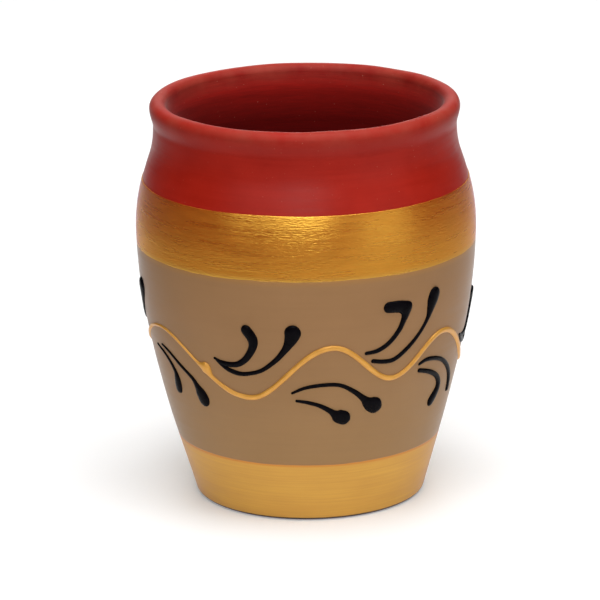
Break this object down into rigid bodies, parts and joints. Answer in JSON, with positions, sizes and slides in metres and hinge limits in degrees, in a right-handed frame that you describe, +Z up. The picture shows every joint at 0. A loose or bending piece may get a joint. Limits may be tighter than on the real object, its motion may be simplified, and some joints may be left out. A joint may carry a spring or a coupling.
{
  "type": "clay kulhad cup",
  "caption": "Wheel-thrown terracotta tea cup with a rolled lip and round belly, painted in gold and taupe bands with a raised wave line and raised black strokes.",
  "frame": {"origin": "centre of the flat foot, on the surface that the cup stands on", "axes": "+Z up along the axis that the cup was thrown about; -Y is the side that the picture shows"},
  "size_m": [0.0732, 0.0732, 0.087],
  "materials": {
    "terracotta": "bare fired red clay, smoothed, satin",
    "shoulder_gold": "metallic gold paint, brushed round the cup",
    "belly_taupe": "matt taupe paint",
    "foot_gold": "metallic gold paint, brushed round the cup",
    "wave_gold": "raised golden yellow liner paint, satin",
    "stroke_black": "raised black liner paint, satin"
  },
  "bodies": {
    "root": {"clay_body": "terracotta", "shoulder_gold_band": "shoulder_gold", "belly_taupe_band": "belly_taupe", "foot_gold_band": "foot_gold", "wave_line": "wave_gold", "upper_short_stroke_1": "stroke_black", "upper_short_stroke_2": "stroke_black", "upper_short_stroke_3": "stroke_black", "upper_short_stroke_4": "stroke_black", "upper_short_stroke_5": "stroke_black", "upper_short_stroke_6": "stroke_black", "upper_long_stroke_1": "stroke_black", "upper_long_stroke_2": "stroke_black", "upper_long_stroke_3": "stroke_black", "upper_long_stroke_4": "stroke_black", "upper_long_stroke_5": "stroke_black", "upper_long_stroke_6": "stroke_black", "lower_long_stroke_1": "stroke_black", "lower_long_stroke_2": "stroke_black", "lower_long_stroke_3": "stroke_black", "lower_long_stroke_4": "stroke_black", "lower_long_stroke_5": "stroke_black", "lower_long_stroke_6": "stroke_black", "lower_short_stroke_1": "stroke_black", "lower_short_stroke_2": "stroke_black", "lower_short_stroke_3": "stroke_black", "lower_short_stroke_4": "stroke_black", "lower_short_stroke_5": "stroke_black", "lower_short_stroke_6": "stroke_black"}
  },
  "joints": []
}
